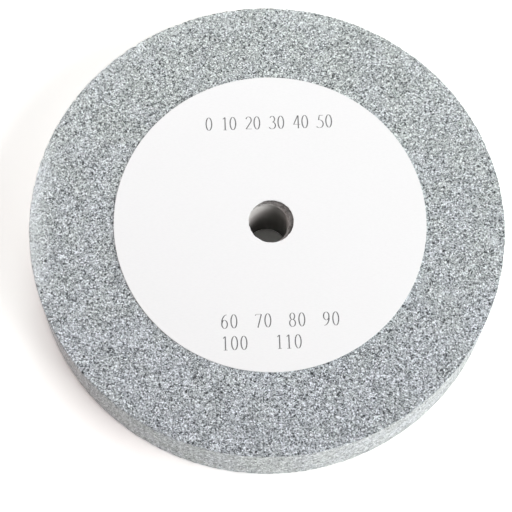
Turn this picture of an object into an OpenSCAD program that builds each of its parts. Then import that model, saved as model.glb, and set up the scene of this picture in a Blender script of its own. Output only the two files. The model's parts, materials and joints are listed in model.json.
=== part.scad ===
// Straight grinding wheel for a bench grinder, lying flat on its rear face.
// The origin is the centre of the rear face. +Z runs along the arbor axis, out of the
// labelled front face, and -Y is the side nearest to someone who reads the label.
// All sizes are in millimetres.

/* [Abrasive wheel] */
// Outside diameter of the wheel
wheel_d = 150; // [130:1:205]
// Thickness of the wheel from face to face
wheel_t = 25; // [16:0.5:40]
// Radius of the crumbled edge between each face and the rim
rim_edge_r = 0.4; // [0.2:0.1:3]

/* [Bore bush] */
// Diameter of the bore that takes the arbor
bore_d = 12.7; // [10:0.1:20]
// Wall of the bush, between the bore and the abrasive
bush_wall = 3.65; // [2:0.05:10]
// Width of the chamfer at each mouth of the bore
mouth_chamfer = 0.7; // [0.2:0.05:1.5]

/* [Paper label] */
// Diameter of the label on the front face
label_d = 98.5; // [70:0.5:120]
// Thickness of the paper
label_t = 0.5; // [0.2:0.05:1]
// How far to the right of the arbor axis the label is stuck
label_right = 0.9; // [-2:0.05:2]
// How far behind the arbor axis the label is stuck
label_back = 0.65; // [-2:0.05:2]
// Room that the hole in the label leaves round the bore
label_hole_gap = 0.02; // [0.02:0.01:1]

/* [Hidden] */

$fn = 180;
// Length by which a cutting shape runs past the face that it opens
cut_past = 1;

bush_d = bore_d + 2 * bush_wall;
// The label sits off centre, so its hole grows by that much and never narrows the bore
label_off = norm([label_right, label_back]);
label_hole_d = bore_d + 2 * (label_off + label_hole_gap);

abrasive_colour = [0.67, 0.7, 0.72];
bush_colour = [0.7, 0.69, 0.67];
paper_colour = [0.95, 0.95, 0.93];

// Half section of a disc of diameter d and thickness t whose outer edges have the radius r
module disc_section(d, t, r) {
    square([d / 2 - r, t]);
    translate([0, r])
        square([d / 2, t - 2 * r]);
    for (z = [r, t - r])
        translate([d / 2 - r, z])
            circle(r);
}

// The moulded disc, with a straight seat through its middle for the bush
module abrasive_wheel() {
    color(abrasive_colour)
        difference() {
            rotate_extrude()
                intersection() {
                    disc_section(wheel_d, wheel_t, rim_edge_r);
                    square([wheel_d, wheel_t]);
                }
            translate([0, 0, -cut_past])
                cylinder(d = bush_d, h = wheel_t + 2 * cut_past);
        }
}

// The cast bush fills its seat from face to face and is chamfered where the arbor enters
module bore_bush() {
    color(bush_colour)
        difference() {
            cylinder(d = bush_d, h = wheel_t);
            translate([0, 0, -cut_past])
                cylinder(d = bore_d, h = wheel_t + 2 * cut_past);
            mouth_cut();
            translate([0, 0, wheel_t])
                mirror([0, 0, 1])
                    mouth_cut();
        }
}

// The cone that chamfers a mouth of the bore, standing on the plane of a face
module mouth_cut() {
    translate([0, 0, -cut_past])
        cylinder(
            d1 = bore_d + 2 * (mouth_chamfer + cut_past),
            d2 = bore_d - 2 * cut_past,
            h = mouth_chamfer + 2 * cut_past
        );
}

// The paper washer stuck on the front face
module paper_label() {
    color(paper_colour)
        translate([label_right, label_back, wheel_t])
            difference() {
                cylinder(d = label_d, h = label_t);
                translate([0, 0, -cut_past])
                    cylinder(d = label_hole_d, h = label_t + 2 * cut_past);
            }
}

abrasive_wheel();
bore_bush();
paper_label();
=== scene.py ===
"""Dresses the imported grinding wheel: fired grain, the cast bush of its bore and a printed label.

Every length is in metres in the part's own frame, which has its origin at the centre of the wheel's
rear face and +Z along the arbor axis. The wheel lies on a plain pale floor in soft studio light.
"""

import json
import logging
import math
from collections.abc import Iterable, Mapping, Sequence
from dataclasses import dataclass, field
from enum import Enum
from functools import cached_property
from itertools import pairwise
from typing import Any

import bmesh
import bpy
from bmesh.types import BMEdge, BMesh, BMVert
from bpy.types import ColorRamp, Material, Node, NodeSocket, NodeTree, Object
from mathutils import Matrix, Vector, noise


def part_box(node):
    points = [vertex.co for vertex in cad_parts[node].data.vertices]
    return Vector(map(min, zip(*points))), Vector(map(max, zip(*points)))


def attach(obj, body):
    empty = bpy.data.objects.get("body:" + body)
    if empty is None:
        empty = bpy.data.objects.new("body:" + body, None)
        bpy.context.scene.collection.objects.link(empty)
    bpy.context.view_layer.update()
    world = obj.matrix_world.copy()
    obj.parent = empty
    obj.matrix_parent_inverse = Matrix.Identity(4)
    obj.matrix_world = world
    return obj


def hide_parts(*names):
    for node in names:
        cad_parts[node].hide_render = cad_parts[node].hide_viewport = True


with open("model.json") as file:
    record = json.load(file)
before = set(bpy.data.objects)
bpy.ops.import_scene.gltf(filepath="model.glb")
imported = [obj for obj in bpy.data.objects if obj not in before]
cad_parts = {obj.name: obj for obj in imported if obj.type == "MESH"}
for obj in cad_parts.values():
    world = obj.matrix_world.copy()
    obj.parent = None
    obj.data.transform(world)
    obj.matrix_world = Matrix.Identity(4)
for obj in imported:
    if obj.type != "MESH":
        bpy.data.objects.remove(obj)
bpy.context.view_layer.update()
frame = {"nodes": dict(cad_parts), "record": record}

MM = 0.001
TOUCHING = 0.01 * MM
LEVEL_WITH = 0.001 * MM
LABEL_LAP = 0.6 * MM
BODY = "root"

log = logging.getLogger("grinding_wheel")

Colour = tuple[float, float, float]
SectionPoint = tuple[float, float]
Path = list[Vector]
# The values at which something is absent and complete
Span = tuple[float, float]


class Slot(Enum):
    """Material slots of the record that the pieces' finishes belong to."""

    ABRASIVE = "bonded_abrasive"
    BUSH = "cast_bush"
    PAPER = "label_paper"


class Axis(Enum):
    """Sockets that Separate XYZ gives."""

    X = "X"
    Y = "Y"
    Z = "Z"


@dataclass(frozen=True)
class Signal:
    """A node's output socket that Python's operators extend with Math nodes."""

    recipe: "Recipe"
    socket: NodeSocket

    def maths(self, operation: str, *values: "Signal | float") -> "Signal":
        """The result of a Math node for an operation, by Blender's name, and its operands in order."""
        inputs = dict(zip(("Value", "Value_001", "Value_002"), values))
        return self.recipe.node("ShaderNodeMath", {"operation": operation}, inputs)["Value"]

    def __add__(self, other: "Signal | float") -> "Signal":
        """Sum of two values."""
        return self.maths("ADD", self, other)

    __radd__ = __add__

    def __sub__(self, other: "Signal | float") -> "Signal":
        """This value less another."""
        return self.maths("SUBTRACT", self, other)

    def __rsub__(self, other: "Signal | float") -> "Signal":
        """A number less this value."""
        return self.maths("SUBTRACT", other, self)

    def __mul__(self, other: "Signal | float") -> "Signal":
        """Product of two values."""
        return self.maths("MULTIPLY", self, other)

    __rmul__ = __mul__

    def __truediv__(self, other: "Signal | float") -> "Signal":
        """This value divided by another."""
        return self.maths("DIVIDE", self, other)

    def __pow__(self, other: "Signal | float") -> "Signal":
        """This value raised to a power."""
        return self.maths("POWER", self, other)

    def at_most(self, other: "Signal | float") -> "Signal":
        """The lower of two values."""
        return self.maths("MINIMUM", self, other)

    def at_least(self, other: "Signal | float") -> "Signal":
        """The higher of two values."""
        return self.maths("MAXIMUM", self, other)

    def eased(self, start: float, end: float) -> "Signal":
        """Goes smoothly from 0 to 1.

        Args:
            start: Value at which the result is 0.
            end: Value at which the result is 1. It may be the lower one.

        Returns:
            The eased value.
        """
        settings = {"interpolation_type": "SMOOTHSTEP"}
        inputs = {"Value": self, "From Min": start, "From Max": end}
        if end < start:
            inputs |= {"From Min": end, "From Max": start, "To Min": 1.0, "To Max": 0.0}
        return self.recipe.node("ShaderNodeMapRange", settings, inputs)["Result"]


@dataclass
class Recipe:
    """A node tree that is written as expressions."""

    tree: NodeTree

    def own(self, kind: str) -> Node:
        """The node of a kind that Blender made with the tree."""
        return next(n for n in self.tree.nodes if n.type == kind)

    @staticmethod
    def pick(sockets: Iterable[NodeSocket], name: str) -> NodeSocket:
        """Finds a socket by its identifier, or else by its name."""
        found = {s.name: s for s in reversed(list(sockets))} | {s.identifier: s for s in sockets}
        return found[name]

    def feed(self, socket: NodeSocket, value: Any) -> None:
        """Links a signal to a socket, or sets the socket's own value.

        Args:
            socket: The socket that takes the value.
            value: A signal, a number, a vector or a colour.
        """
        if isinstance(value, Signal):
            self.tree.links.new(value.socket, socket)
        elif socket.type == "RGBA":
            socket.default_value = (*value[:3], 1.0)
        else:
            socket.default_value = value

    def node(
        self,
        kind: str,
        settings: Mapping[str, Any] | None = None,
        inputs: Mapping[str, Any] | None = None,
    ) -> dict[str, Signal]:
        """Adds a node.

        Args:
            kind: The node's type.
            settings: Its properties, set first. The stops of a ramp are pairs of place and colour.
            inputs: A value or a signal for each named socket.

        Returns:
            The node's outputs by name and by identifier.
        """
        made = self.tree.nodes.new(kind)
        for name, value in (settings or {}).items():
            if name == "stops":
                self.set_stops(made.color_ramp, value)
            else:
                setattr(made, name, value)
        for name, value in (inputs or {}).items():
            self.feed(self.pick(made.inputs, name), value)
        outputs = {s.name: Signal(self, s) for s in reversed(list(made.outputs))}
        return outputs | {s.identifier: Signal(self, s) for s in made.outputs}

    @staticmethod
    def set_stops(ramp: ColorRamp, stops: Sequence[tuple[float, Colour]]) -> None:
        """Gives a ramp its stops.

        Args:
            ramp: The ramp.
            stops: Pairs of place and colour, in rising order.
        """
        while len(ramp.elements) < len(stops):
            ramp.elements.new(1.0)
        for element, (place, colour) in zip(ramp.elements, stops):
            element.position = place
            element.color = (*colour, 1.0)

    @cached_property
    def place(self) -> Signal:
        """Object coordinates, which are places in the part's frame."""
        return self.node("ShaderNodeTexCoord")["Object"]

    def along(self, axis: Axis) -> Signal:
        """One coordinate of the place."""
        return self.node("ShaderNodeSeparateXYZ", inputs={"Vector": self.place})[axis.value]

    def towards(self, side: float) -> Signal:
        """How far the place lies towards a side, which is an angle round the arbor axis."""
        return self.along(Axis.X) * math.cos(side) + self.along(Axis.Y) * math.sin(side)

    @cached_property
    def radius(self) -> Signal:
        """How far the place lies from the arbor axis."""
        x, y = self.along(Axis.X), self.along(Axis.Y)
        return (x * x + y * y) ** 0.5

    def cells(self, place: Signal, size: float) -> tuple[Signal, Signal, Signal, Signal]:
        """Splits space into irregular grains.

        Args:
            place: Where to look.
            size: The usual distance between grains, in metres.

        Returns:
            The distance from the grain's heart in grain sizes, and three random values of the grain.
        """
        inputs = {"Vector": place, "Scale": 1 / size}
        grains = self.node("ShaderNodeTexVoronoi", {"feature": "F1"}, inputs)
        split = self.node("ShaderNodeSeparateColor", inputs={"Color": grains["Color"]})
        return grains["Distance"], split["Red"], split["Green"], split["Blue"]

    def clouds(self, place: Signal, size: float, detail: float = 2.0) -> Signal:
        """Soft noise from 0 to 1, with patches up to a size in metres and a number of finer layers."""
        inputs = {"Vector": place, "Scale": 1 / size, "Detail": detail}
        return self.node("ShaderNodeTexNoise", inputs=inputs)["Fac"]

    def attribute(self, name: str) -> Signal:
        """A value that the mesh holds at each point."""
        return self.node("ShaderNodeAttribute", {"attribute_name": name})["Fac"]

    def ramp(self, value: Signal, stops: Sequence[tuple[float, Colour]]) -> Signal:
        """Turns a value into a colour between stops."""
        return self.node("ShaderNodeValToRGB", {"stops": stops}, {"Fac": value})["Color"]

    def blend(self, share: Signal | float, first: Any, second: Any, kind: str = "MIX") -> Signal:
        """Mixes two colours.

        Args:
            share: How much of the second colour shows.
            first: The colour at a share of 0.
            second: The colour at a share of 1.
            kind: Blender's name of the way to mix them.

        Returns:
            The mixed colour.
        """
        settings = {"data_type": "RGBA", "blend_type": kind}
        inputs = {"Factor_Float": share, "A_Color": first, "B_Color": second}
        return self.node("ShaderNodeMix", settings, inputs)["Result_Color"]

    def relief(self, height: Signal, depth: float, strength: float) -> Signal:
        """The normal of fine relief, where a height of 1 stands for a depth in metres."""
        inputs = {"Height": height, "Distance": depth, "Strength": strength}
        return self.node("ShaderNodeBump", inputs=inputs)["Normal"]

    def seen(self) -> Signal:
        """1 for what the camera sees, straight or in gloss or glass, and 0 for light on its way."""
        path = self.node("ShaderNodeLightPath")
        return path["Is Camera Ray"].at_least(path["Is Glossy Ray"]).at_least(path["Is Transmission Ray"])

    def surface(self, shader: Signal, output: str = "OUTPUT_MATERIAL") -> None:
        """Makes a shader the one that shows."""
        self.feed(self.own(output).inputs["Surface"], shader)


class Dressing(Recipe):
    """The node tree of one material, with its Principled shader."""

    def __init__(self, name: str) -> None:
        """Makes the material and finds its shader.

        Args:
            name: The material's name.
        """
        self.material = bpy.data.materials.new(name)
        self.material.use_nodes = True
        super().__init__(self.material.node_tree)
        self.shader = self.own("BSDF_PRINCIPLED")

    def finish(self, **sockets: Any) -> Material:
        """Feeds the shader.

        Args:
            sockets: A value or a signal for each socket, with underscores for the spaces in its name.

        Returns:
            The finished material.
        """
        for name, value in sockets.items():
            self.feed(self.pick(self.shader.inputs, name.replace("_", " ")), value)
        return self.material


@dataclass(frozen=True)
class BondedAbrasive:
    """Blue-grey abrasive grain in a vitrified bond, with open pores in painted shade. The trued rim is
    paler and finer.

    Levels of tone run from 0, the darkest grain, to 1, the lightest.
    """

    wheel_r: float
    thickness: float
    grain: float = 0.405 * MM
    crumb: float = 0.25 * MM
    blotch: float = 1.1 * MM
    mottle: float = 9.0 * MM
    pore_spacing: float = 1.6 * MM
    pore_span: Span = (0.3, 0.12)
    pore_share_span: Span = (0.4, 0.75)
    rim_stretch: float = 0.55
    rim_warmth: Colour = (1.03, 1.0, 0.985)
    edge_wander: float = 1.2 * MM
    wander_size: float = 1.8 * MM
    rim_edge_span: Span = (0.1 * MM, 1.3 * MM)
    face_edge_span: Span = (1.2 * MM, 0.4 * MM)
    # Where and how strongly a pale highlight is painted by the front edge
    dust_front_span: Span = (0.88, 0.99)
    dust_reach: float = 8.0 * MM
    dust_side: float = math.radians(105)
    dust_side_span: Span = (-0.35, 0.9)
    dust_strength: float = 0.4
    scuff_reach: float = 9.0 * MM
    scuff_side: float = math.radians(182)
    scuff_side_span: Span = (0.9, 0.995)
    scuff_strength: float = 1.8
    dark: Colour = (0.03, 0.034, 0.036)
    middle: Colour = (0.384, 0.414, 0.418)
    light: Colour = (0.91, 0.955, 0.955)
    base_level: float = 0.49
    rim_lift: float = 0.168
    # How much the painted highlight by the front edge lifts the tone
    dust_lift: float = 0.12
    # Painted light: the front face is lighter towards its far side
    back_lift: float = 0.03
    grain_swing: float = 0.14
    grain_peak: float = 0.42
    crumb_swing: float = 0.66
    blotch_swing: float = 0.3
    mottle_swing: float = 0.1
    # Painted shade in the pores: the shader's own and the mesh's sunk ones
    pore_drop: float = 0.62
    sunk_drop: float = 0.25
    rim_calm: float = 0.3
    # How much the painted highlight calms the grain
    dust_calm: float = 0.25
    base_cast: float = 0.25
    patch_cast: float = 0.5
    front_cast: float = 0.5
    patch_span: Span = (0.35, 0.65)
    warm_cast: Colour = (0.99, 1.0, 0.985)
    cool_cast: Colour = (0.985, 0.985, 1.03)
    grain_casts: tuple[Colour, Colour] = ((0.98, 1.0, 0.985), (1.0, 0.995, 1.015))
    heart_height: float = 0.5
    crumb_height: float = 0.35
    pore_height: float = 0.8
    relief_depth: float = 0.1 * MM
    relief_strength: float = 0.8
    roughness: float = 0.82
    spark_gloss: float = 0.4
    spark_span: Span = (0.9, 0.97)
    reflection: float = 0.35

    def rim(self, make: Recipe) -> Signal:
        """Finds the trued rim, with an uneven border along its edges.

        Args:
            make: The material's recipe.

        Returns:
            1 on the rim and 0 on the faces.
        """
        z = make.along(Axis.Z)
        wander = (make.clouds(make.place, self.wander_size) - 0.5) * self.edge_wander
        inward = (z.at_most(self.thickness - z) + wander).eased(*self.rim_edge_span)
        start, end = (self.wheel_r - inset for inset in self.face_edge_span)
        return inward * (make.radius + wander).eased(start, end)

    def dust(self, make: Recipe) -> Signal:
        """Paints a pale highlight by the front edge: thinly along half of it, more on a short part.

        Args:
            make: The material's recipe.

        Returns:
            The amount of painted highlight.
        """
        front = make.along(Axis.Z).eased(*(share * self.thickness for share in self.dust_front_span))
        half = make.towards(self.dust_side) / self.wheel_r
        thin = make.radius.eased(self.wheel_r - self.dust_reach, self.wheel_r)
        thin = thin * half.eased(*self.dust_side_span) * self.dust_strength
        short = make.towards(self.scuff_side) / make.radius
        thick = make.radius.eased(self.wheel_r - self.scuff_reach, self.wheel_r)
        thick = thick * short.eased(*self.scuff_side_span) * self.scuff_strength
        return (thin + thick) * front

    def tinted(self, make: Recipe, body: Signal, patches: Signal, back: Signal, tint: Signal) -> Signal:
        """Gives the grain its casts: cool and warm patches, cooler in front, and a tint of each grain.

        Args:
            make: The material's recipe.
            body: The colour without casts.
            patches: Soft noise for the patches.
            back: How far back a place lies, from -1 to 1.
            tint: A random value of each grain.

        Returns:
            The colour with its casts.
        """
        share = self.patch_cast * patches.eased(*self.patch_span) + self.base_cast - self.front_cast * back
        cast = make.blend(share, self.warm_cast, self.cool_cast)
        grain_cast = make.blend(tint, *self.grain_casts)
        return make.blend(1.0, make.blend(1.0, body, cast, "MULTIPLY"), grain_cast, "MULTIPLY")

    def dress(self) -> Material:
        """Makes the material.

        Returns:
            The material of the wheel.
        """
        make = Dressing("bonded_abrasive")
        stretch = {"Vector": make.place, "Scale": (1, 1, self.rim_stretch)}
        tall = make.node("ShaderNodeMapping", inputs=stretch)["Vector"]
        near, tone, spark, tint = make.cells(tall, self.grain)
        _, crumb_tone, _, _ = make.cells(tall, self.crumb)
        _, blotch, _, _ = make.cells(tall, self.blotch)
        pore_near, pore_size, _, _ = make.cells(tall, self.pore_spacing)
        pore = pore_near.eased(*self.pore_span) * pore_size.eased(*self.pore_share_span)
        patches = make.clouds(make.place, self.mottle)
        rim = self.rim(make)
        # Painted highlight by the front edge, which lifts and calms the grain there
        dust = self.dust(make)
        contrast = (1.0 - self.rim_calm * rim) * (1.0 - self.dust_calm * dust)
        swing = tone * 2 - 1
        grainy = swing * (self.grain_swing + self.grain_peak * swing * swing)
        # Painted shade darkens the shader's pores
        grainy = grainy + (crumb_tone - 0.5) * self.crumb_swing - pore * self.pore_drop
        grainy = grainy + (blotch - 0.5) * self.blotch_swing * rim
        # Painted shade darkens the pores sunk into the mesh
        pore_shade = make.attribute("pore") * self.sunk_drop
        back = make.along(Axis.Y) / self.wheel_r * (1.0 - rim)
        level = self.base_level + self.rim_lift * rim + self.dust_lift * dust + (grainy - pore_shade) * contrast
        # Painted light lifts the front face towards its far side
        level = level + (patches - 0.5) * self.mottle_swing + self.back_lift * back
        body = make.ramp(level, ((0.0, self.dark), (0.5, self.middle), (1.0, self.light)))
        colour = self.tinted(make, body, patches, back, tint)
        colour = make.blend(rim, colour, make.blend(1.0, colour, self.rim_warmth, "MULTIPLY"))
        height = (1.0 - near) * self.heart_height + crumb_tone * self.crumb_height
        height = (height - pore * self.pore_height) * contrast
        rough = self.roughness - self.spark_gloss * spark.eased(*self.spark_span) * (1.0 - rim)
        normal = make.relief(height, self.relief_depth, self.relief_strength)
        shine = {"Specular_IOR_Level": self.reflection}
        return make.finish(Base_Color=colour, Roughness=rough, Normal=normal, **shine)


@dataclass(frozen=True)
class CastBush:
    """Warm grey casting, whose mouths are coarse and dark. Its bore wall is painted lighter on one side
    towards its front mouth, as painted light, and darker deeper down, as painted shade.

    Heights are shares of the wheel's thickness.
    """

    bore_r: float
    thickness: float
    grain: float = 0.5 * MM
    streak: float = 3.0 * MM
    grain_share: float = 0.4
    mix_span: Span = (0.25, 0.75)
    mouth_wander: float = 0.7 * MM
    wander_size: float = 1.3 * MM
    mouth_span: Span = (0.2 * MM, 0.55 * MM)
    face_span: Span = (0.7 * MM, 1.05 * MM)
    # Where and how strongly light is painted on the bore wall
    polished_side: float = math.radians(146)
    side_span: Span = (0.1, 1.05)
    polish_height_span: Span = (0.21, 0.88)
    all_round_polish: float = 0.16
    all_round_span: Span = (0.65, 0.9)
    lip_dulling: float = 0.6
    lip_span: Span = (0.92, 0.97)
    wall_blemish: float = 0.15
    front_blemish: float = 0.55
    front_start: float = 0.7
    # Bore wall colours, from painted shade to painted light
    wall_dull: Colour = (0.21, 0.2, 0.19)
    wall_bright: Colour = (0.84, 0.825, 0.8)
    ridge_low: Colour = (0.11, 0.105, 0.1)
    ridge_high: Colour = (0.29, 0.275, 0.265)
    face_low: Colour = (0.06, 0.055, 0.052)
    face_high: Colour = (0.17, 0.16, 0.155)
    relief_depth: float = 0.12 * MM
    relief_strength: float = 0.7
    roughness: float = 0.5
    mouth_roughness: float = 0.35

    def polish(self, make: Recipe) -> Signal:
        """Paints light on the bore wall: most on one side near its front mouth, less at the lip itself.

        Args:
            make: The material's recipe.

        Returns:
            The painted light, from 0 to about 1.
        """
        z = make.along(Axis.Z) / self.thickness
        side = (make.towards(self.polished_side) / self.bore_r).eased(*self.side_span)
        all_round = self.all_round_polish * z.eased(*self.all_round_span)
        wall_light = side * z.eased(*self.polish_height_span) + all_round
        return wall_light * (1.0 - self.lip_dulling * side * side * z.eased(*self.lip_span))

    def dress(self) -> Material:
        """Makes the material.

        Returns:
            The material of the bush.
        """
        make = Dressing("cast_bush")
        wander = (make.clouds(make.place, self.wander_size) - 0.5) * self.mouth_wander
        out = make.radius - self.bore_r + wander
        near, tone, _, _ = make.cells(make.place, self.grain)
        streaks = make.clouds(make.place, self.streak, 4.0)
        mixed = (streaks * (1 - self.grain_share) + tone * self.grain_share).eased(*self.mix_span)
        front = make.along(Axis.Z).eased(self.front_start * self.thickness, self.thickness)
        blemish = (streaks - 0.5) * (self.wall_blemish + self.front_blemish * front)
        # Painted light on the bore wall, with random blemishes
        light_and_blemish = self.polish(make) + blemish
        wall = make.blend(light_and_blemish.at_least(0.0).at_most(1.0), self.wall_dull, self.wall_bright)
        ridge = make.blend(mixed, self.ridge_low, self.ridge_high)
        face = make.blend(mixed, self.face_low, self.face_high)
        mouth = out.eased(*self.mouth_span)
        ends = make.blend(out.eased(*self.face_span), ridge, face)
        colour = make.blend(mouth, wall, ends)
        height = (streaks + (1.0 - near) * mouth) / 2
        normal = make.relief(height, self.relief_depth, self.relief_strength)
        rough = self.roughness + self.mouth_roughness * mouth
        return make.finish(Base_Color=colour, Roughness=rough, Normal=normal)


@dataclass(frozen=True)
class LabelPaper:
    """Plain white paper with a faint fibre, which lies at an angle."""

    white: Colour = (0.887, 0.896, 0.896)
    shade: Colour = (0.857, 0.866, 0.866)
    fibre_size: float = 1.1 * MM
    fibre_angle: float = 0.7
    fibre_slenderness: float = 3.5
    fibre_span: Span = (0.35, 0.7)
    fibre_shade: float = 0.6
    cast_size: float = 22 * MM
    cast_shade: float = 0.3
    relief_depth: float = 0.03 * MM
    relief_strength: float = 0.5
    roughness: float = 0.85
    fibre_roughness: float = 0.1

    def dress(self) -> Material:
        """Makes the material.

        Returns:
            The material of the label.
        """
        make = Dressing("label_paper")
        lay = {"Rotation": (0, 0, self.fibre_angle), "Scale": (1.0, self.fibre_slenderness, 1.0)}
        stretched = make.node("ShaderNodeMapping", inputs={"Vector": make.place} | lay)["Vector"]
        fibre = make.clouds(stretched, self.fibre_size, 5.0)
        cast = make.clouds(make.place, self.cast_size)
        shaded = fibre.eased(*self.fibre_span) * self.fibre_shade + cast * self.cast_shade
        colour = make.blend(shaded, self.white, self.shade)
        normal = make.relief(fibre, self.relief_depth, self.relief_strength)
        rough = self.roughness + self.fibre_roughness * fibre
        return make.finish(Base_Color=colour, Roughness=rough, Normal=normal)


@dataclass(frozen=True)
class PrintInk:
    """Thin dark grey printing ink that soaks unevenly into the paper."""

    dense: Colour = (0.05, 0.05, 0.055)
    thin: Colour = (0.16, 0.16, 0.165)
    soak_size: float = 0.6 * MM
    soak_span: Span = (0.3, 0.7)
    roughness: float = 0.6
    soak_roughness: float = 0.2

    def dress(self) -> Material:
        """Makes the material.

        Returns:
            The material of the print.
        """
        make = Dressing("label_ink")
        soak = make.clouds(make.place, self.soak_size, 3.0)
        colour = make.blend(soak.eased(*self.soak_span), self.dense, self.thin)
        return make.finish(Base_Color=colour, Roughness=self.roughness + self.soak_roughness * soak)


def in_order(parts: Iterable[Any]) -> list[Any]:
    """Each part once, in the order in which they come."""
    return list(dict.fromkeys(parts))


@dataclass
class RingStack:
    """A surface of revolution in a mesh, grown ring by ring along its section."""

    mesh: BMesh
    segments: int
    radius: float
    height: float
    arc_rings: int = 3
    open_edges: list[BMEdge] = field(init=False)
    first_edges: list[BMEdge] = field(init=False)

    def __post_init__(self) -> None:
        """Starts with one circle."""
        place = Matrix.Translation((0, 0, self.height))
        made = bmesh.ops.create_circle(self.mesh, segments=self.segments, radius=self.radius, matrix=place)
        self.open_edges = in_order(edge for vert in made["verts"] for edge in vert.link_edges)
        self.first_edges = list(self.open_edges)

    def band(self, radius: float, height: float, pitch: float | None = None) -> None:
        """Adds a ring, and more rings between it and the last one.

        Args:
            radius: The new ring's radius.
            height: The new ring's height.
            pitch: About how far apart the rings are, or nothing for a plain band.
        """
        grown = bmesh.ops.extrude_edge_only(self.mesh, edges=self.open_edges)["geom"]
        verts = [g for g in grown if isinstance(g, BMVert)]
        ring = set(verts)
        share = radius / self.radius
        bmesh.ops.scale(self.mesh, vec=(share, share, 1), verts=verts)
        bmesh.ops.translate(self.mesh, vec=(0, 0, height - self.height), verts=verts)
        edges = (g for g in grown if isinstance(g, BMEdge))
        self.open_edges = [e for e in edges if ring.issuperset(e.verts)]
        length = math.hypot(radius - self.radius, height - self.height)
        self.radius, self.height = radius, height
        cuts = round(length / pitch) - 1 if pitch else 0
        if cuts > 0:
            spokes = [e for v in verts for e in v.link_edges if not ring.issuperset(e.verts)]
            bmesh.ops.subdivide_edges(self.mesh, edges=spokes, cuts=cuts, use_grid_fill=True)

    def arc(self, centre: SectionPoint, radius: float, start: float, end: float) -> None:
        """Adds rings along an arc of the section.

        Args:
            centre: The arc's centre in the section.
            radius: Its radius.
            start: The angle of the last ring, in degrees.
            end: The angle of the new last ring, in degrees.
        """
        for i in range(self.arc_rings):
            turn = math.radians(start + (end - start) * (i + 1) / self.arc_rings)
            self.band(centre[0] + radius * math.cos(turn), centre[1] + radius * math.sin(turn))

    def double(self) -> None:
        """Gives the last ring twice as many segments."""
        made = bmesh.ops.subdivide_edges(self.mesh, edges=self.open_edges, cuts=1)["geom_inner"]
        middles = [g for g in made if isinstance(g, BMVert)]
        for vert in middles:
            vert.co.xy *= self.radius / vert.co.xy.length
        self.open_edges = in_order(e for v in middles for e in v.link_edges if len(e.link_faces) == 1)
        self.segments *= 2


def weld(mesh: BMesh, *loops: Iterable[BMEdge]) -> None:
    """Joins rings that lie on each other."""
    verts = in_order(vert for loop in loops for edge in loop for vert in edge.verts)
    bmesh.ops.remove_doubles(mesh, verts=verts, dist=TOUCHING)


def turn_outwards(mesh: BMesh) -> None:
    """Turns every face of a closed mesh outwards."""
    bmesh.ops.recalc_face_normals(mesh, faces=mesh.faces)
    mesh.normal_update()


def add_piece(name: str, mesh: BMesh, material: Material, slot: Slot) -> Object:
    """Makes a finished piece that rides with the wheel.

    Args:
        name: The piece's name.
        mesh: Its shape, which is freed.
        material: Its finish.
        slot: The record's slot that the finish belongs to. It is not used.

    Returns:
        The piece.
    """
    data = bpy.data.meshes.new(name)
    mesh.to_mesh(data)
    mesh.free()
    data.materials.append(material)
    piece = bpy.data.objects.new(name, data)
    bpy.context.scene.collection.objects.link(piece)
    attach(piece, BODY)
    log.info("%s: %d faces", name, len(data.polygons))
    return piece


@dataclass(frozen=True)
class GrainRelief:
    """How far the fired surface lies behind its true face: grain, open pores and crumbled edges."""

    wheel_r: float
    thickness: float
    grain: float = 0.9 * MM
    grain_depth: float = 0.09 * MM
    grain_slope: float = 1.4
    pore_spacing: float = 1.9 * MM
    pore_r: float = 0.62 * MM
    pore_depth: float = 0.38 * MM
    pore_share: float = 0.55
    least_pore: float = 0.45
    share_draw: float = 97.0
    size_draw: float = 53.0
    chip_size: float = 2.6 * MM
    crumb_size: float = 1.0 * MM
    chip_reach: float = 1.2 * MM
    chip_depth: float = 0.55 * MM
    chip_weight: float = 0.6

    def pore(self, place: Vector) -> float:
        """Works out how deep in a pore a place lies.

        Args:
            place: The place, in metres.

        Returns:
            0 outside the pores, and 1 at the bottom of one.
        """
        distances, hearts = noise.voronoi(place / self.pore_spacing)
        if noise.cell(hearts[0] * self.share_draw) > self.pore_share:
            return 0.0
        drawn = noise.cell(hearts[0] * self.size_draw)
        size = self.pore_r * (self.least_pore + (1 - self.least_pore) * drawn)
        return max(0.0, 1 - (distances[0] * self.pore_spacing / size) ** 2)

    def chip(self, place: Vector) -> float:
        """Works out how much of the rim's edge has crumbled away at a place.

        Args:
            place: The place, in metres.

        Returns:
            0 where nothing is lost, and about 1 at the most.
        """
        to_face = min(place.z, self.thickness - place.z)
        to_rim = self.wheel_r - place.xy.length
        near = max(0.0, 1 - math.hypot(to_face, to_rim) / self.chip_reach)
        if not near:
            return 0.0
        lost = self.chip_weight * noise.noise(place / self.chip_size) + noise.noise(place / self.crumb_size)
        return near * max(0.0, lost)

    def depth(self, place: Vector) -> tuple[float, float]:
        """Works out the relief at a place on the true surface.

        Args:
            place: The place, in metres.

        Returns:
            How far the surface lies behind it, and how deep in a pore it is, from 0 to 1.
        """
        distances, _ = noise.voronoi(place / self.grain)
        pore = self.pore(place)
        depth = self.grain_depth * min(1.0, self.grain_slope * distances[0])
        return depth + self.pore_depth * pore + self.chip_depth * self.chip(place), pore


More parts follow.
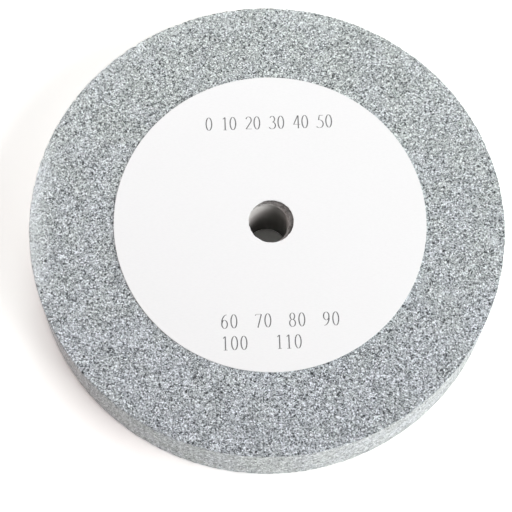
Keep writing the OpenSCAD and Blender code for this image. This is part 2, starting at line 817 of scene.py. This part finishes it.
@dataclass
class AbrasiveWheel:
    """The moulded and fired disc, with real relief in its faces, its rim and its edges."""

    wheel_r: float
    thickness: float
    seat_r: float
    label_inner_reach: float
    edge_r: float
    coarse_segments: int = 215
    face_pitch: float = 0.5 * MM
    rim_pitch: float = 0.64 * MM
    rear_pitch: float = 1.0 * MM
    rear_inner_pitch: float = 2.2 * MM
    rear_band: float = 10 * MM
    shuffle: float = 0.32
    shuffle_cell: float = 0.137 * MM
    flat_limit: float = 0.99

    def section(self) -> BMesh:
        """Grows the true disc from its seat outwards, on both faces, finest where it shows most.

        Returns:
            The closed disc without relief.
        """
        mesh = bmesh.new()
        top, edge = self.thickness, self.edge_r
        flat_r = self.wheel_r - edge
        front = RingStack(mesh, self.coarse_segments, self.seat_r, top)
        front.band(self.label_inner_reach - 2 * self.rear_pitch, top)
        front.double()
        front.band(self.label_inner_reach - self.rear_pitch, top)
        front.double()
        front.band(flat_r, top, self.face_pitch)
        front.arc((flat_r, top - edge), edge, 90, 0)
        front.band(self.wheel_r, edge, self.rim_pitch)
        rear = RingStack(mesh, self.coarse_segments, self.seat_r, 0)
        rear.band(flat_r - self.rear_band, 0, self.rear_inner_pitch)
        rear.double()
        rear.band(flat_r - self.rear_pitch, 0, self.rear_pitch)
        rear.double()
        rear.band(flat_r, 0)
        rear.arc((flat_r, edge), edge, -90, 0)
        seat = RingStack(mesh, self.coarse_segments, self.seat_r, top)
        seat.band(self.seat_r, 0)
        weld(mesh, front.open_edges, rear.open_edges)
        weld(mesh, front.first_edges, rear.first_edges, seat.first_edges, seat.open_edges)
        turn_outwards(mesh)
        return mesh

    def roughen(self, mesh: BMesh) -> None:
        """Shuffles the points along the surface, each by its own place, and sinks them into their relief.

        What the label and the bush cover stays true.

        Args:
            mesh: The true disc.
        """
        relief = GrainRelief(self.wheel_r, self.thickness)
        pores = mesh.verts.layers.float.new("pore")
        for vert in mesh.verts:
            radius = vert.co.xy.length
            by_label = vert.co.z > 0 and radius < self.label_inner_reach
            if by_label or radius < self.seat_r + self.face_pitch:
                continue
            outward = vert.normal.copy()
            if max(abs(outward.z), outward.xy.length) > self.flat_limit:
                drawn = 2 * noise.cell_vector(vert.co / self.shuffle_cell) - Vector((1, 1, 1))
                slide = drawn * self.shuffle * self.face_pitch
                vert.co += slide - outward * slide.dot(outward)
            depth, vert[pores] = relief.depth(vert.co)
            vert.co -= outward * depth

    def hold(self, mesh: BMesh) -> None:
        """Keeps every point within the true disc.

        Args:
            mesh: The disc with its relief.
        """
        for vert in mesh.verts:
            vert.co.z = min(max(vert.co.z, 0.0), self.thickness)
            radius = vert.co.xy.length
            if radius > self.wheel_r:
                vert.co.xy *= self.wheel_r / radius

    def build(self) -> Object:
        """Builds and dresses the disc.

        Returns:
            The piece that stands for the CAD node.
        """
        mesh = self.section()
        self.roughen(mesh)
        self.hold(mesh)
        finish = BondedAbrasive(self.wheel_r, self.thickness).dress()
        piece = add_piece("fired_abrasive", mesh, finish, Slot.ABRASIVE)
        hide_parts("abrasive_wheel")
        return piece


@dataclass
class BoreBush:
    """The cast bush, whose mouths are chamfered and a little uneven."""

    outer_r: float
    bore_r: float
    thickness: float
    chamfer: float = 0.7 * MM
    segments: int = 144
    end_pitch: float = 0.3 * MM
    mouth_pitch: float = 0.15 * MM
    wall_pitch: float = 0.8 * MM
    lump: float = 1.2 * MM
    fine_lump: float = 0.4 * MM
    end_depth: float = 0.45 * MM
    wall_depth: float = 0.04 * MM
    lump_share: float = 0.7
    flare: float = 0.38 * MM
    flare_reach: float = 7.0 * MM

    def wear(self, place: Vector) -> float:
        """Works out how far the cast surface lies behind its true face. The bore flares to its mouths.

        Args:
            place: The place, in metres.

        Returns:
            The distance, in metres.
        """
        lumps = 0.5 + 0.5 * noise.noise(place / self.lump)
        fine = 0.5 + 0.5 * noise.noise(place / self.fine_lump)
        reach = min(1.0, max(0.0, (place.xy.length - self.bore_r) / self.chamfer))
        depth = self.wall_depth + (self.end_depth - self.wall_depth) * reach
        to_mouth = min(place.z, self.thickness - place.z)
        flared = self.flare * (1 - reach) * max(0.0, 1 - to_mouth / self.flare_reach) ** 2
        return depth * (self.lump_share * lumps + (1 - self.lump_share) * fine) + flared

    def build(self) -> Object:
        """Builds and dresses the bush.

        Returns:
            The piece that stands for the CAD node.
        """
        mesh = bmesh.new()
        top, mouth_r = self.thickness, self.bore_r + self.chamfer
        rings = RingStack(mesh, self.segments, self.outer_r, 0)
        rings.band(self.outer_r, top)
        rings.band(mouth_r, top, self.end_pitch)
        rings.band(self.bore_r, top - self.chamfer, self.mouth_pitch)
        rings.band(self.bore_r, self.chamfer, self.wall_pitch)
        rings.band(mouth_r, 0, self.mouth_pitch)
        rings.band(self.outer_r, 0, self.end_pitch)
        weld(mesh, rings.first_edges, rings.open_edges)
        turn_outwards(mesh)
        for vert in mesh.verts:
            if vert.co.xy.length < self.outer_r - TOUCHING:
                vert.co -= vert.normal * self.wear(vert.co)
        for face in mesh.faces:
            face.smooth = True
        finish = CastBush(self.bore_r, self.thickness).dress()
        piece = add_piece("bush_casting", mesh, finish, Slot.BUSH)
        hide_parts("bore_bush")
        return piece


@dataclass(frozen=True)
class Numerals:
    """Plain numerals for a nib that leaves upright strokes broad and level ones fine, 1 high."""

    width: float = 0.5
    stops_per_turn: int = 28

    @staticmethod
    def line(*corners: SectionPoint) -> Path:
        """A straight run through some places."""
        return [Vector(c) for c in corners]

    def bow(self, x: float, y: float, rx: float, ry: float, start: float, end: float) -> Path:
        """A part of an ellipse.

        Args:
            x: Its centre across.
            y: Its centre upwards.
            rx: Its half width.
            ry: Its half height.
            start: The first angle, in degrees.
            end: The last angle, in degrees.

        Returns:
            The places along it.
        """
        count = max(2, round(abs(end - start) / 360 * self.stops_per_turn))
        turns = (math.radians(start + (end - start) * i / count) for i in range(count + 1))
        return [Vector((x + rx * math.cos(t), y + ry * math.sin(t))) for t in turns]

    def strokes(self, digit: str) -> list[Path]:
        """Draws one digit.

        Args:
            digit: The digit.

        Returns:
            Its strokes.
        """
        line, bow = self.line, self.bow
        mid = self.width / 2
        drawn: dict[str, list[Path]] = {
            "0": [bow(mid, 0.5, 0.2, 0.49, 0, 360)],
            "1": [
                line((0.12, 0.86), (0.27, 0.99)),
                line((0.27, 0.99), (0.27, 0)),
                line((0.13, 0.01), (0.41, 0.01)),
            ],
            "2": [
                bow(0.24, 0.73, 0.19, 0.26, 160, -35) + line((0.05, 0.04)),
                line((0.05, 0.04), (0.47, 0.04)),
            ],
            "3": [bow(0.22, 0.76, 0.17, 0.23, 150, -80), bow(0.2, 0.27, 0.24, 0.27, 90, -150)],
            "4": [line((0.33, 0.99), (0.03, 0.3), (0.5, 0.3)), line((0.36, 0.99), (0.36, 0))],
            "5": [
                line((0.45, 0.96), (0.17, 0.96), (0.11, 0.6)),
                bow(0.16, 0.3, 0.27, 0.31, 100, -140),
            ],
            "6": [bow(0.44, 0.4, 0.38, 0.59, 95, 175), bow(mid, 0.3, 0.19, 0.3, 0, 360)],
            "7": [line((0.06, 0.86), (0.07, 0.96), (0.46, 0.96)), line((0.46, 0.96), (0.2, 0))],
            "8": [bow(mid, 0.75, 0.16, 0.24, 0, 360), bow(mid, 0.26, 0.2, 0.26, 0, 360)],
            "9": [bow(0.06, 0.6, 0.38, 0.59, -85, -5), bow(mid, 0.7, 0.19, 0.29, 0, 360)],
        }
        return drawn[digit]


@dataclass(frozen=True)
class PrintRow:
    """One printed row of plain numbers, with steps from digit to digit and gaps between numbers."""

    numbers: tuple[int, ...]
    left: float
    baseline: float
    advance: float
    gap: float


@dataclass
class LabelPrint:
    """Rows of plain numbers, like those of a dial, in thin ink on the label."""

    centre: Vector
    top: float
    turn: float = math.radians(4.3)
    digit_height: float = 4.45 * MM
    broad: float = 0.36 * MM
    fine: float = 0.1 * MM
    ink_depth: float = 0.012 * MM
    rows: tuple[PrintRow, ...] = (
        PrintRow((0, 10, 20, 30, 40, 50), -19.6 * MM, 31.2 * MM, 2.59 * MM, 2.5 * MM),
        PrintRow((60, 70, 80, 90), -16.4 * MM, -34.9 * MM, 2.9 * MM, 4.7 * MM),
        PrintRow((100, 110), -16.4 * MM, -41.9 * MM, 2.9 * MM, 8.0 * MM),
    )

    def half_width(self, along: Vector) -> float:
        """Half the width that the nib leaves on a stroke that runs in a direction."""
        return math.hypot(self.broad * along.y, self.fine * along.x) / 2

    def lay_stroke(self, mesh: BMesh, path: Path) -> None:
        """Adds a flat stroke along a path. Its left side is a chain of edges that is extruded to the right.

        Args:
            mesh: The mesh that takes the stroke.
            path: Where the middle of the stroke runs, in metres.
        """
        closed = (path[0] - path[-1]).length < TOUCHING
        places = path[:-1] if closed else path
        sides: list[Vector] = []
        for i, place in enumerate(places):
            before = places[i - 1] if i or closed else place
            after = places[(i + 1) % len(places)] if closed or i + 1 < len(places) else place
            along = (after - before).normalized()
            sides.append(Vector((-along.y, along.x)) * self.half_width(along))
        left = [mesh.verts.new((*(p + s), 0)) for p, s in zip(places, sides)]
        shift = {vert: -2 * side for vert, side in zip(left, sides)}
        run = left + left[:1] if closed else left
        chain = [mesh.edges.new(pair) for pair in pairwise(run)]
        grown = bmesh.ops.extrude_edge_only(mesh, edges=chain)["geom"]
        fresh = [g for g in grown if isinstance(g, BMVert)]
        for vert in fresh:
            source = next(v for e in vert.link_edges if (v := e.other_vert(vert)) in shift)
            vert.co.xy += shift[source]

    def lay_row(self, mesh: BMesh, row: PrintRow, numerals: Numerals) -> None:
        """Adds a row of numbers to a flat mesh, in the label's own frame.

        Args:
            mesh: The mesh.
            row: What is printed, and where.
            numerals: The shapes of the digits.
        """
        at = row.left
        for number in row.numbers:
            for digit in str(number):
                origin = Vector((at, row.baseline))
                for stroke in numerals.strokes(digit):
                    self.lay_stroke(mesh, [origin + self.digit_height * place for place in stroke])
                at += row.advance
            at += row.gap

    def build(self) -> Object:
        """Builds and dresses the print.

        Returns:
            The print, which lies on the label.
        """
        mesh = bmesh.new()
        numerals = Numerals()
        for row in self.rows:
            self.lay_row(mesh, row, numerals)
        flat = list(mesh.faces)
        raised = bmesh.ops.extrude_face_region(mesh, geom=flat, use_keep_orig=True)["geom"]
        lifted = [g for g in raised if isinstance(g, BMVert)]
        bmesh.ops.translate(mesh, vec=(0, 0, self.ink_depth), verts=lifted)
        bmesh.ops.recalc_face_normals(mesh, faces=mesh.faces)
        turned = Matrix.Rotation(self.turn, 3, "Z")
        bmesh.ops.rotate(mesh, cent=(0, 0, 0), matrix=turned, verts=mesh.verts)
        bmesh.ops.translate(mesh, vec=(self.centre.x, self.centre.y, self.top), verts=mesh.verts)
        return add_piece("label_print", mesh, PrintInk().dress(), Slot.PAPER)


@dataclass
class PaperLabel:
    """The white paper washer that is stuck on the front face."""

    centre: Vector
    outer_r: float
    hole_r: float
    bottom: float
    top: float
    segments: int = 360
    ring_pitch: float = 3.0 * MM
    edge_round: float = 0.08 * MM
    print_room: float = 0.02 * MM
    punch_slip: Vector = field(default_factory=lambda: Vector((0.3, -0.1, 0)) * MM)
    punch_shrink: float = 0.39 * MM
    punch_reach: float = 12 * MM
    fray: float = 0.12 * MM
    fray_size: float = 1.1 * MM
    fray_falloff: int = 8

    def punch(self, mesh: BMesh) -> None:
        """Moves the hole to the right and a little forwards, narrows it and frays its edge.

        Args:
            mesh: The washer, which lies round the origin.
        """
        for vert in mesh.verts:
            radius = vert.co.xy.length
            share = max(0.0, 1 - (radius - self.hole_r) / self.punch_reach)
            ragged = noise.noise(vert.co / self.fray_size) * self.fray * share ** self.fray_falloff
            vert.co.xy *= 1 + (ragged - self.punch_shrink * share) / radius
            vert.co += self.punch_slip * share

    def build(self) -> Object:
        """Builds and dresses the label and its print.

        Returns:
            The piece that stands for the CAD node.
        """
        top, low, edge = self.top - self.print_room, self.bottom, self.edge_round
        mesh = bmesh.new()
        rings = RingStack(mesh, self.segments, self.outer_r, low)
        rings.band(self.outer_r, top - edge)
        rings.band(self.outer_r - edge, top)
        rings.band(self.hole_r + edge, top, self.ring_pitch)
        rings.band(self.hole_r, top - edge)
        rings.band(self.hole_r, low)
        rings.band(self.outer_r, low)
        weld(mesh, rings.first_edges, rings.open_edges)
        turn_outwards(mesh)
        self.punch(mesh)
        bmesh.ops.translate(mesh, vec=(self.centre.x, self.centre.y, 0), verts=mesh.verts)
        piece = add_piece("label_washer", mesh, LabelPaper().dress(), Slot.PAPER)
        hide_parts("paper_label")
        LabelPrint(self.centre, top).build()
        return piece


@dataclass(frozen=True)
class PhotoCamera:
    """The camera of the photograph, steeply above the near side of the wheel."""

    elevation: float = math.radians(70.64)
    distance: float = 593.7 * MM
    aim: Vector = field(default_factory=lambda: Vector((-3.15, -6.86, 12.5)) * MM)
    roll: float = math.radians(1.56)
    lens_mm: float = 129.95
    nearest: float = 0.01
    farthest: float = 20.0

    def build(self) -> None:
        """Adds the camera and makes it the scene's."""
        stand = Vector((0, -math.cos(self.elevation), math.sin(self.elevation))) * self.distance
        stand.z += self.aim.z
        ahead = (self.aim - stand).normalized()
        right = ahead.cross(Vector((0, 0, 1))).normalized()
        right.rotate(Matrix.Rotation(-self.roll, 3, ahead))
        up = right.cross(ahead)
        data = bpy.data.cameras.new("photo_camera")
        data.lens = self.lens_mm
        data.clip_start = self.nearest
        data.clip_end = self.farthest
        camera = bpy.data.objects.new("photo_camera", data)
        turn = Matrix((right, up, -ahead)).transposed().to_4x4()
        camera.matrix_world = Matrix.Translation(stand) @ turn
        bpy.context.scene.collection.objects.link(camera)
        bpy.context.scene.camera = camera


@dataclass(frozen=True)
class SoftBox:
    """A square area lamp that looks at the wheel, from an azimuth and an elevation in degrees."""

    name: str
    azimuth: float
    elevation: float
    distance: float
    size: float
    power: float
    colour: Colour

    def build(self, target: Vector) -> None:
        """Adds the lamp.

        Args:
            target: The place that it looks at.
        """
        turn, lift = math.radians(self.azimuth), math.radians(self.elevation)
        way = Vector((math.cos(turn) * math.cos(lift), math.sin(turn) * math.cos(lift), math.sin(lift)))
        data = bpy.data.lights.new(self.name, "AREA")
        data.shape = "SQUARE"
        data.size = self.size
        data.energy = self.power
        data.color = self.colour
        lamp = bpy.data.objects.new(self.name, data)
        aimed = way.to_track_quat("Z", "Y").to_matrix().to_4x4()
        lamp.matrix_world = Matrix.Translation(target + way * self.distance) @ aimed
        bpy.context.scene.collection.objects.link(lamp)


@dataclass
class Studio:
    """A pale floor and an even room, with soft boxes: a broad key on the right in front, two small ones
    on the left behind and on the right, and two broad low ones that light the rim from left and right.
    """

    floor_size: float = 6.0
    floor_colour: Colour = (0.79, 0.79, 0.785)
    floor_seen: Colour = (1.435, 1.45, 1.41)
    sweep_start: float = 0.25
    sweep_end: float = 0.7
    room_level: float = 0.191
    target: Vector = field(default_factory=lambda: Vector((0, 0, 12.5)) * MM)
    boxes: tuple[SoftBox, ...] = (
        SoftBox("key", 330, 42, 1.2, 0.6, 7.24, (1.042, 0.988, 1.008)),
        SoftBox("back_left", 120, 55, 0.4, 0.25, 0.643, (0.95, 1.01, 1.01)),
        SoftBox("right", 0, 35, 0.4, 0.25, 0.352, (0.94, 1.0, 0.97)),
        SoftBox("low_left", 162, 26, 1.2, 0.6, 2.34, (1.36, 0.9, 0.92)),
        SoftBox("low_right", 305, 15, 1.2, 0.6, 4.01, (0.93, 1.0, 1.0)),
    )

    def floor_material(self) -> Material:
        """Makes a matt floor that the camera sees brighter than it lights the wheel, and white far out.

        Returns:
            The material of the floor.
        """
        make = Dressing("studio_floor")
        seen = make.seen()
        far = make.radius.eased(self.sweep_start, self.sweep_end)
        colour = make.blend(seen, self.floor_colour, self.floor_seen)
        matt = make.node("ShaderNodeBsdfDiffuse", inputs={"Color": colour})["BSDF"]
        plain = {"Color": (1.0, 1.0, 1.0), "Strength": 1.0}
        white = make.node("ShaderNodeEmission", inputs=plain)["Emission"]
        parts = {"Fac": seen * far, "Shader": matt, "Shader_001": white}
        make.surface(make.node("ShaderNodeMixShader", inputs=parts)["Shader"])
        make.tree.nodes.remove(make.shader)
        return make.material

    def build_floor(self) -> None:
        """Adds the floor that the wheel lies on."""
        mesh = bmesh.new()
        bmesh.ops.create_grid(mesh, x_segments=1, y_segments=1, size=self.floor_size / 2)
        data = bpy.data.meshes.new("floor")
        mesh.to_mesh(data)
        mesh.free()
        data.materials.append(self.floor_material())
        floor = bpy.data.objects.new("floor", data)
        bpy.context.scene.collection.objects.link(floor)

    def build_room(self) -> None:
        """Lights the scene evenly, with a white background for the camera."""
        world = bpy.data.worlds.new("room")
        world.use_nodes = True
        make = Recipe(world.node_tree)
        white = (1.0, 1.0, 1.0)
        light = make.node("ShaderNodeBackground", inputs={"Color": white, "Strength": self.room_level})
        wall = make.node("ShaderNodeBackground", inputs={"Color": white, "Strength": 1.0})
        parts = {"Fac": make.seen(), "Shader": light["Background"], "Shader_001": wall["Background"]}
        make.surface(make.node("ShaderNodeMixShader", inputs=parts)["Shader"], "OUTPUT_WORLD")
        make.tree.nodes.remove(make.own("BACKGROUND"))
        bpy.context.scene.world = world

    def build(self) -> None:
        """Adds floor, room and lamps, and plain colour handling."""
        self.build_floor()
        self.build_room()
        for box in self.boxes:
            box.build(self.target)
        bpy.context.scene.view_settings.view_transform = "Standard"


def hole_radius(node: str, centre: Vector) -> float:
    """Radius of the hole in a CAD node, from its own points."""
    points = frame["nodes"][node].data.vertices
    return min((p.co.xy - centre.xy).length for p in points)


def face_radius(node: str, height: float) -> float:
    """How far out a CAD node's flat face at some height reaches, from its own points."""
    points = frame["nodes"][node].data.vertices
    return max(p.co.xy.length for p in points if abs(p.co.z - height) < LEVEL_WITH)


def main() -> None:
    """Builds each sub-assembly round its CAD node, then the studio."""
    logging.basicConfig(level=logging.INFO, format="%(name)s %(message)s")
    PhotoCamera().build()
    wheel_low, wheel_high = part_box("abrasive_wheel")
    _, bush_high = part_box("bore_bush")
    label_low, label_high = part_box("paper_label")
    bore = next(m for m in frame["record"]["mounts"] if m["name"] == "bore")
    label_centre = (label_low + label_high) / 2
    label_r = (label_high.x - label_low.x) / 2
    inner_reach = label_r - label_centre.xy.length - LABEL_LAP
    edge_r = wheel_high.x - face_radius("abrasive_wheel", wheel_high.z)
    AbrasiveWheel(wheel_high.x, wheel_high.z, bush_high.x, inner_reach, edge_r).build()
    BoreBush(bush_high.x, bore["dims"]["r_mm"] * MM, bush_high.z).build()
    hole_r = hole_radius("paper_label", label_centre)
    PaperLabel(label_centre, label_r, hole_r, label_low.z, label_high.z).build()
    Studio().build()


if __name__ == "__main__":
    main()
